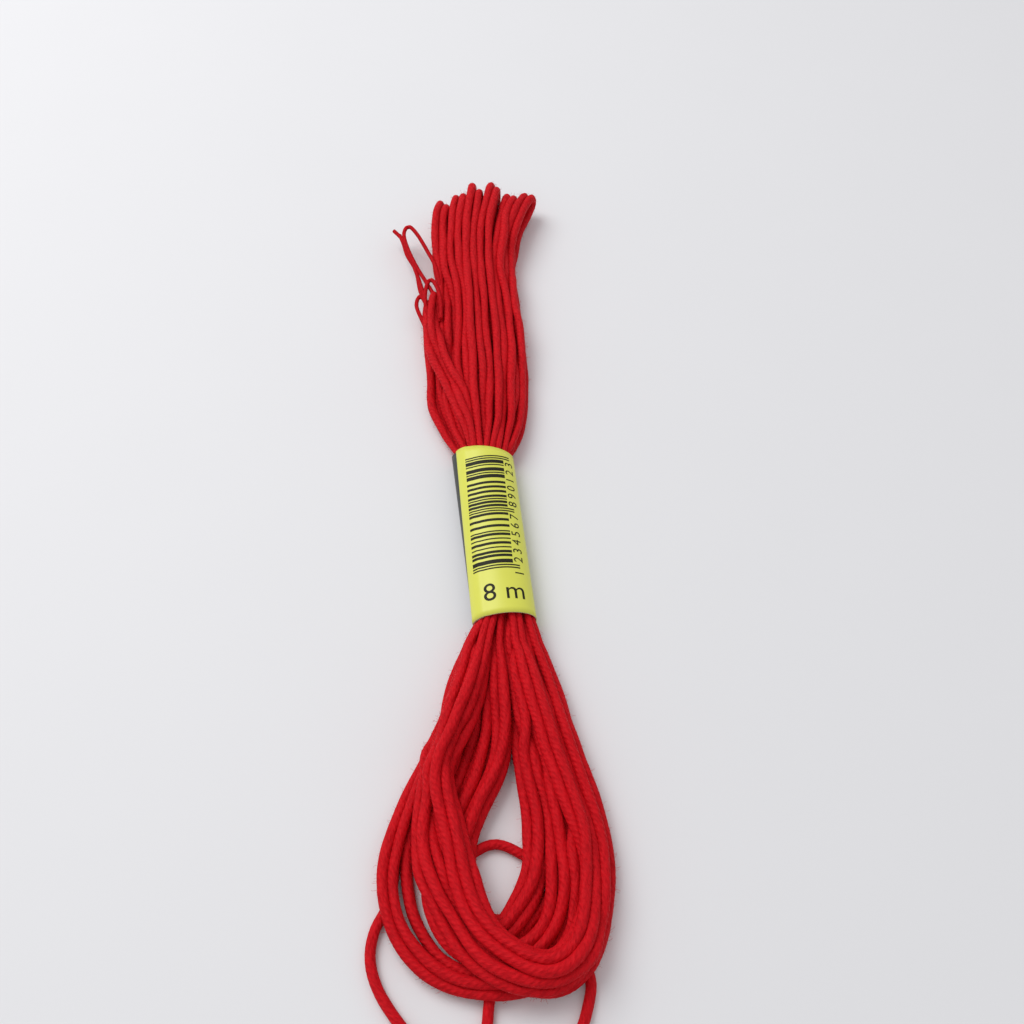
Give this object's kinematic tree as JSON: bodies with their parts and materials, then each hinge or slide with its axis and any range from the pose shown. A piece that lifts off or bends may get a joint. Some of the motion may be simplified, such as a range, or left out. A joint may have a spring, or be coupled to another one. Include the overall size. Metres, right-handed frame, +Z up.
{
  "type": "skein of embroidery floss",
  "caption": "Skein of red cotton embroidery floss lying flat, its near end opened into a loop, with a yellow paper band round its waist.",
  "frame": {"origin": "middle of the skein's box, on the table it lies on", "axes": "+Y along the skein from the open loop to the fan of folded turns, +Z up"},
  "size_m": [0.044, 0.1882, 0.0081],
  "materials": {
    "red_cotton": "matt with a faint mercerised sheen",
    "yellow_paper": "semi-matt printed paper"
  },
  "bodies": {
    "root": {"floss": "red_cotton", "paper_band": "yellow_paper", "loose_turn": "red_cotton", "loose_tail": "red_cotton"}
  },
  "joints": []
}
